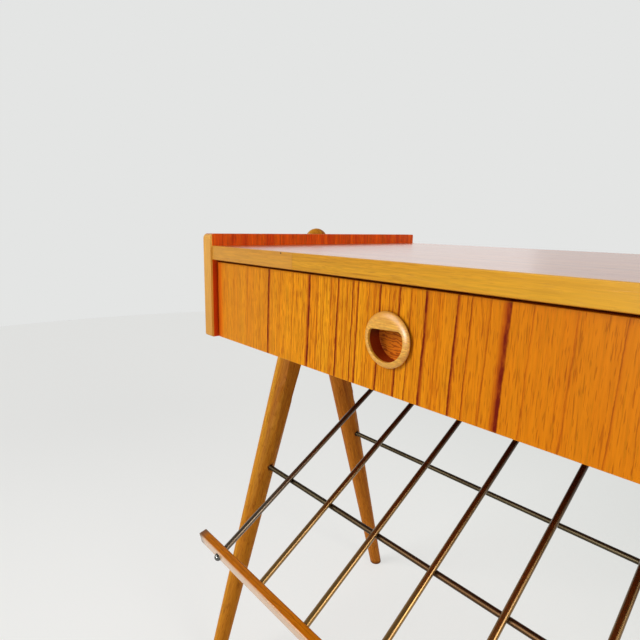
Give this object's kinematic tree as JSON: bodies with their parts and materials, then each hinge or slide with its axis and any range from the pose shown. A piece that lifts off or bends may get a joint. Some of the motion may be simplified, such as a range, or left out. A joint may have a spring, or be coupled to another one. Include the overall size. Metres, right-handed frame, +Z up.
{
  "type": "bedside table with drawer and magazine rack",
  "caption": "Bedside table: a drawer case carried by crossed, tapering round legs, with a sloping rack of metal rods for magazines below it and a round let-in drawer pull.",
  "frame": {"origin": "on the floor, under the middle of the table's box", "axes": "+X to the right as seen from the front, +Y from front to back, +Z up"},
  "size_m": [0.561, 0.3602, 0.5718],
  "materials": {
    "teak": "satin oiled teak with dark streaks",
    "light_wood": "satin light hardwood",
    "drawer_wood": "plain sanded beech",
    "plywood": "sanded plywood",
    "rod_brass": "polished brass, slightly darkened",
    "cross_rod_brass": "dark tarnished brass",
    "screw_steel": "plain steel"
  },
  "bodies": {
    "table": {"left_side_panel": "teak", "right_side_panel": "teak", "left_panel_lipping": "light_wood", "right_panel_lipping": "light_wood", "top_board": "teak", "top_lipping": "light_wood", "bottom_board": "teak", "back_panel": "plywood", "carcass_dowels": "light_wood", "back_panel_screws": "screw_steel", "left_front_leg": "teak", "left_rear_leg": "teak", "right_front_leg": "teak", "right_rear_leg": "teak", "leg_apex_dowels": "light_wood", "leg_screws": "screw_steel", "front_cross_rod": "cross_rod_brass", "rear_cross_rod": "cross_rod_brass", "rack_rod_1": "rod_brass", "rack_rod_2": "rod_brass", "rack_rod_3": "rod_brass", "rack_rod_4": "rod_brass", "rack_rod_5": "rod_brass", "rack_rod_6": "rod_brass", "rack_rod_7": "rod_brass", "rack_front_rail": "teak", "rack_cap_nuts": "screw_steel", "rack_rear_batten": "teak", "batten_screws": "screw_steel", "left_drawer_runner": "light_wood", "right_drawer_runner": "light_wood", "runner_screws": "screw_steel"},
    "drawer": {"drawer_front": "teak", "drawer_left_side": "drawer_wood", "drawer_right_side": "drawer_wood", "drawer_back": "drawer_wood", "drawer_bottom": "plywood", "drawer_bottom_screws": "screw_steel", "drawer_pull": "light_wood"}
  },
  "joints": [
    {"name": "drawer_slide", "type": "slide", "parent": "table", "child": "drawer", "axis": [0, -1, 0], "range_m": [0, 0.22]}
  ]
}
